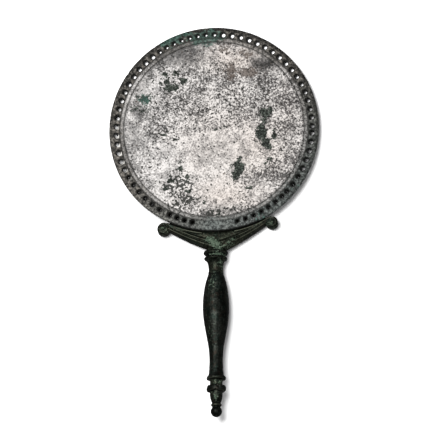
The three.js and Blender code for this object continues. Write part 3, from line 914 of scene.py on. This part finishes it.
patina_colour = colour_steps(tree, tarnish, (
    (0.37, (0.0013, 0.0015, 0.0012)),
    (0.46, (0.0044, 0.0050, 0.0043)),
    (0.53, (0.0106, 0.0119, 0.0102)),
    (0.62, (0.0325, 0.0360, 0.0312)),
))
# The olive film also lays a painted highlight high on the grip.
olive_and_highlight_film = ragged(tree, place, noted(tree, "olive_and_highlight"), 0.45, 1.5, 0.42)
olive_colour = colour_steps(tree, fine, (
    (0.36, (0.0060, 0.0068, 0.0047)),
    (0.50, (0.0180, 0.0200, 0.0140)),
    (0.64, (0.0440, 0.0480, 0.0345)),
))
patina_colour = overlay(tree, olive_and_highlight_film, 0.8, patina_colour, olive_colour)
tealed = ease_between(tree, clouds(tree, place, 0.2, 4.0, 0.7), 0.50, 0.60)
patina_colour = overlay(tree, tealed, 0.4, patina_colour, teal_stain_colour)
browned = ease_between(tree, clouds(tree, place, 0.3, 3.0, 0.65), 0.55, 0.63)
patina_colour = overlay(tree, browned, 0.6, patina_colour, brown_tarnish_colour)
hollows = noted(tree, "hollow")
# Hollows darkened with patina and painted shade.
hollow_patina_and_shade = ease_between(tree, hollows, 0.02, 0.12)
patina_colour = overlay(tree, hollow_patina_and_shade, 0.88, patina_colour, hollow_patina_and_shade_colour)
worn = ease_between(tree, scaled(tree, hollows, -1), 0.03, 0.14)
patina_colour = overlay(tree, worn, 0.65, patina_colour, worn_colour)
# Blacker skin, with painted shade on the grip, under the leaves and at the ball's end.
patina_colour = overlay(tree, noted(tree, "black_and_shade"), 0.75, patina_colour, black_and_shade_colour)
pale_colour = colour_steps(tree, fine, (
    (0.36, (0.034, 0.054, 0.036)),
    (0.50, (0.070, 0.098, 0.069)),
    (0.64, (0.125, 0.160, 0.122)),
))
pale = ragged(tree, place, noted(tree, "verdigris"), 0.9, 3.4, 0.55)
patina_colour = overlay(tree, pale, 0.8, patina_colour, pale_colour)
shine = add_node(tree, "ShaderNodeBsdfPrincipled")
feed(tree, shine.inputs["Base Color"], patina_colour)
shine.inputs["Specular IOR Level"].default_value = 0.05
shine.inputs["Specular Tint"].default_value = (0.25, 0.25, 0.25, 1)
feed(tree, shine.inputs["Metallic"], scaled(tree, pale, -0.8, 0.8))
rough = sum_up(tree, "ADD", scaled(tree, fine, 0.25, 0.3), scaled(tree, pale, 0.3))
feed(tree, shine.inputs["Roughness"], rough)
relief = add_node(tree, "ShaderNodeBump")
relief.inputs["Strength"].default_value = 0.5
relief.inputs["Distance"].default_value = 0.0003
feed(tree, relief.inputs["Height"], fine)
tree.links.new(relief.outputs["Normal"], shine.inputs["Normal"])
surface = add_node(tree, "ShaderNodeOutputMaterial")
tree.links.new(shine.outputs["BSDF"], surface.inputs["Surface"])
handle.data.materials.append(patina)

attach(handle, "root")
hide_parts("handle")


# The mirror lies on a plain white sheet of card under a large soft light, high on the left.
floor_bm = bmesh.new()
bmesh.ops.create_grid(floor_bm, x_segments=1, y_segments=1, size=3)
floor_mesh = bpy.data.meshes.new("white_card")
floor_bm.to_mesh(floor_mesh)
floor_bm.free()
floor = bpy.data.objects.new("white_card", floor_mesh)
scene.collection.objects.link(floor)
card = bpy.data.materials.new("white card")
card.use_nodes = True
card_shine = card.node_tree.nodes["Principled BSDF"]
card_shine.inputs["Base Color"].default_value = (0.9, 0.9, 0.9, 1)
card_shine.inputs["Roughness"].default_value = 0.9
floor.data.materials.append(card)

sky = bpy.data.worlds.new("white room")
sky.use_nodes = True
room_glow = sky.node_tree.nodes["Background"]
room_glow.inputs["Color"].default_value = (1, 1, 1, 1)
room_glow.inputs["Strength"].default_value = 0.42
scene.world = sky

softbox = bpy.data.lights.new("softbox", "AREA")
softbox.shape = "SQUARE"
softbox.size = 0.55
softbox.energy = 24.8
softbox_object = bpy.data.objects.new("softbox", softbox)
softbox_object.location = (-0.22, 0.06, 1.2)
towards_mirror = -softbox_object.location
softbox_object.rotation_euler = towards_mirror.to_track_quat("-Z", "Y").to_euler()
softbox_object.visible_camera = False
scene.collection.objects.link(softbox_object)


# The camera looks down on the face from the handle's side, a little to the right, with a long lens. The size
# of the picture and the disc's centre in it are in pixels.
picture_size = 432
disc_centre_across = 213.97
disc_centre_down = 129.02
mm_per_pixel = 0.6266
camera_off_face = math.radians(15.3)
camera_aside = 0.3003
camera_below = 0.9538
handle_lean = math.radians(0.78)
camera_distance = 10.0
frame_width_mm = picture_size * mm_per_pixel
frame_across = (picture_size / 2 - disc_centre_across) * mm_per_pixel
frame_down = (picture_size / 2 - disc_centre_down) * mm_per_pixel
face_centre = lay_down @ Vector((0, 0, disc_thickness))
turn_to_world = lay_down.to_3x3().normalized()
picture_right = Vector((math.cos(handle_lean), -math.sin(handle_lean), 0))
picture_down = Vector((-math.sin(handle_lean), -math.cos(handle_lean), 0))
towards_camera = camera_aside * picture_right + camera_below * picture_down
beside_camera = camera_below * picture_right - camera_aside * picture_down
look_back = math.cos(camera_off_face) * Vector((0, 0, 1)) + math.sin(camera_off_face) * towards_camera
shortened = (towards_camera - look_back * towards_camera.dot(look_back)).normalized()
camera_right = turn_to_world @ (camera_below * beside_camera + camera_aside * shortened)
camera_down = turn_to_world @ (camera_below * shortened - camera_aside * beside_camera)
camera_back = turn_to_world @ look_back
aim = face_centre + (camera_right * frame_across + camera_down * frame_down) / mm_per_metre
lens = bpy.data.cameras.new("camera")
lens.lens = lens.sensor_width * camera_distance / (frame_width_mm / mm_per_metre)
lens.clip_end = 60
camera = bpy.data.objects.new("camera", lens)
place_camera = Matrix((camera_right, -camera_down, camera_back)).transposed().to_4x4()
camera.matrix_world = Matrix.Translation(aim + camera_back * camera_distance) @ place_camera
scene.collection.objects.link(camera)
scene.camera = camera
scene.view_settings.view_transform = "Standard"
